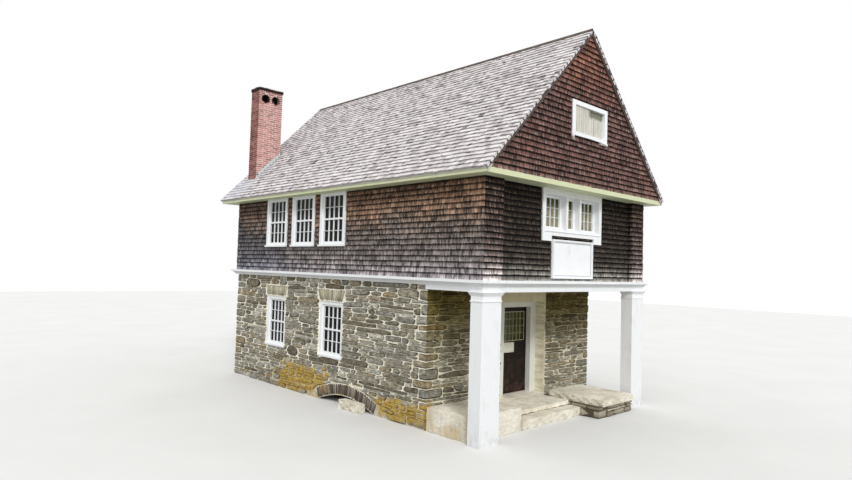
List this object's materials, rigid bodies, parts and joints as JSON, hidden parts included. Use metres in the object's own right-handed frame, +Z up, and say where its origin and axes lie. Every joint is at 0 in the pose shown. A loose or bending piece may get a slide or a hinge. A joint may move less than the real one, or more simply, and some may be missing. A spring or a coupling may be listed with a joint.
{
  "type": "watermill building",
  "caption": "Two-storey mill house: rubble stone ground storey behind a porch on box columns, shingled upper storey, gabled roof, end chimney and a hinged front door.",
  "frame": {"origin": "on the ground, at the centre of the roof's outline", "axes": "+X to the right of someone who faces the porch, +Y back along the house, +Z up"},
  "size_m": [7.42, 11.491, 9.3913],
  "materials": {
    "rubble_stone": "rough split stone in pale lime mortar",
    "slab_stone": "weathered flat stone",
    "brick": "weathered red brick",
    "cap_stone": "sooty stone",
    "wall_shingles": "weathered brown wood shingles over boards",
    "roof_shingles": "silver-grey weathered wood shingles",
    "white_paint": "white painted wood",
    "floor_boards": "bare boards",
    "dark_door_paint": "dark brown painted wood",
    "window_glass": "old window glass",
    "cream_shutter_paint": "cream painted boards",
    "lead_sheet": "dull grey sheet metal",
    "iron": "black iron",
    "brass": "dull brass"
  },
  "bodies": {
    "root": {"attic_floor": "floor_boards", "attic_shutters": "cream_shutter_paint", "attic_window_frames": "white_paint", "chimney_cap": "cap_stone", "chimney_flashing": "lead_sheet", "chimney_stack": "brick", "column_capitals": "white_paint", "columns": "white_paint", "door_frame": "white_paint", "door_head": "white_paint", "door_jamb_hinges": "iron", "eave_boxes": "white_paint", "end_cornices": "white_paint", "front_corner_piers": "wall_shingles", "front_step": "slab_stone", "gable_back": "wall_shingles", "gable_front": "wall_shingles", "ground_floor": "floor_boards", "landing_slab": "slab_stone", "ledge_ends": "white_paint", "ledge_sides": "white_paint", "left_slab": "slab_stone", "porch_beam_front": "white_paint", "porch_beam_sides": "white_paint", "race_stone": "slab_stone", "ridge_cap": "roof_shingles", "roof_left": "roof_shingles", "roof_right": "roof_shingles", "sash_window_frames": "white_paint", "side_slab": "slab_stone", "sign_board": "white_paint", "slab_bed": "rubble_stone", "stone_front_walls": "rubble_stone", "stone_wall_back": "rubble_stone", "stone_wall_left": "rubble_stone", "stone_wall_right": "rubble_stone", "threshold_slab": "slab_stone", "triple_window_frame": "white_paint", "upper_floor": "floor_boards", "upper_side_walls": "wall_shingles", "upper_wall_back": "wall_shingles", "upper_wall_front": "wall_shingles", "window_glass": "window_glass"},
    "door": {"door_leaf": "dark_door_paint", "door_glass": "window_glass", "door_leaf_hinges": "iron", "door_knobs": "brass"}
  },
  "joints": [
    {"name": "door_hinge", "type": "hinge", "parent": "root", "child": "door", "pos_m": [0.972, -3.183, 1.475], "axis": [0, 0, -1], "range_deg": [0, 95]}
  ]
}
